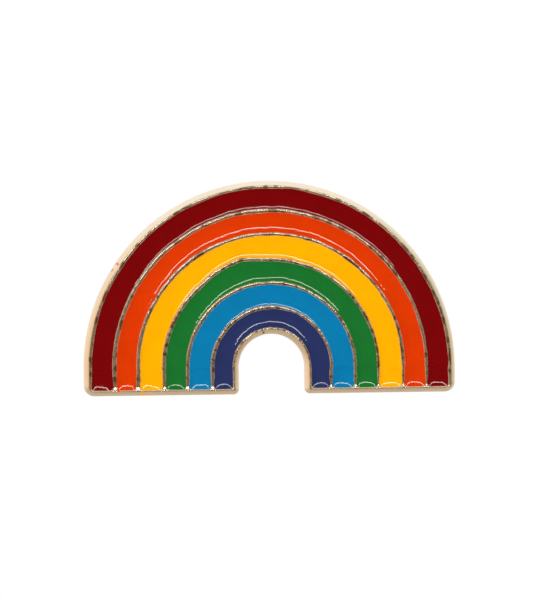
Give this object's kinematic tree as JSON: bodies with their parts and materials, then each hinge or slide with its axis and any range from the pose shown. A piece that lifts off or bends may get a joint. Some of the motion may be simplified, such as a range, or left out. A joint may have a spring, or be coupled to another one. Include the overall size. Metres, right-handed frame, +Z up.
{
  "type": "enamel pin",
  "caption": "Rainbow-shaped soft-enamel lapel pin: a struck metal plate with paint-filled bands, worn on cloth by posts and butterfly clutches.",
  "frame": {"origin": "on the flat back of the base plate, on its line of symmetry, halfway between the outer and inner edges of the arch at the crown: the face that lies against the cloth", "axes": "+Z up through the crown of the arch, +Y out of the back along the posts, so that the enamelled face looks along -Y, and +X to the right as seen from the front"},
  "size_m": [0.03, 0.0099, 0.0172],
  "materials": {
    "plated_metal": "pale gold plating, struck, slightly pitted on the ridges",
    "clutch_metal": "bright stamped brass sheet",
    "solder": "dull tin solder",
    "enamel_red": "glossy baked paint, dished",
    "enamel_orange": "glossy baked paint, dished",
    "enamel_yellow": "glossy baked paint, dished",
    "enamel_green": "glossy baked paint, dished",
    "enamel_sky_blue": "glossy baked paint, dished",
    "enamel_navy": "glossy baked paint, dished"
  },
  "bodies": {
    "pin": {"base_plate": "plated_metal", "enamel_red": "enamel_red", "enamel_orange": "enamel_orange", "enamel_yellow": "enamel_yellow", "enamel_green": "enamel_green", "enamel_sky_blue": "enamel_sky_blue", "enamel_navy": "enamel_navy", "post_left": "plated_metal", "post_right": "plated_metal", "solder_left": "solder", "solder_right": "solder"},
    "clutch_left": {"clutch_left_base": "clutch_metal", "clutch_left_cap": "clutch_metal"},
    "wing_left_upper": {"clutch_left_wing_upper": "clutch_metal"},
    "wing_left_lower": {"clutch_left_wing_lower": "clutch_metal"},
    "clutch_right": {"clutch_right_base": "clutch_metal", "clutch_right_cap": "clutch_metal"},
    "wing_right_upper": {"clutch_right_wing_upper": "clutch_metal"},
    "wing_right_lower": {"clutch_right_wing_lower": "clutch_metal"}
  },
  "joints": [
    {"name": "clutch_left_slide", "type": "slide", "parent": "pin", "child": "clutch_left", "axis": [0, 1, 0], "range_m": [-0.0025, 0.006]},
    {"name": "wing_left_upper_squeeze", "type": "slide", "parent": "clutch_left", "child": "wing_left_upper", "axis": [0, 0, -1], "range_m": [0, 0.0006], "stiffness_N_per_m": 1500},
    {"name": "wing_left_lower_squeeze", "type": "slide", "parent": "clutch_left", "child": "wing_left_lower", "axis": [0, 0, 1], "range_m": [0, 0.0006], "stiffness_N_per_m": 1500},
    {"name": "clutch_right_slide", "type": "slide", "parent": "pin", "child": "clutch_right", "axis": [0, 1, 0], "range_m": [-0.0025, 0.006]},
    {"name": "wing_right_upper_squeeze", "type": "slide", "parent": "clutch_right", "child": "wing_right_upper", "axis": [0, 0, -1], "range_m": [0, 0.0006], "stiffness_N_per_m": 1500},
    {"name": "wing_right_lower_squeeze", "type": "slide", "parent": "clutch_right", "child": "wing_right_lower", "axis": [0, 0, 1], "range_m": [0, 0.0006], "stiffness_N_per_m": 1500}
  ],
  "couplings": [
    {"joint": "wing_left_lower_squeeze", "follows": "wing_left_upper_squeeze", "ratio": 1},
    {"joint": "wing_right_lower_squeeze", "follows": "wing_right_upper_squeeze", "ratio": 1}
  ]
}
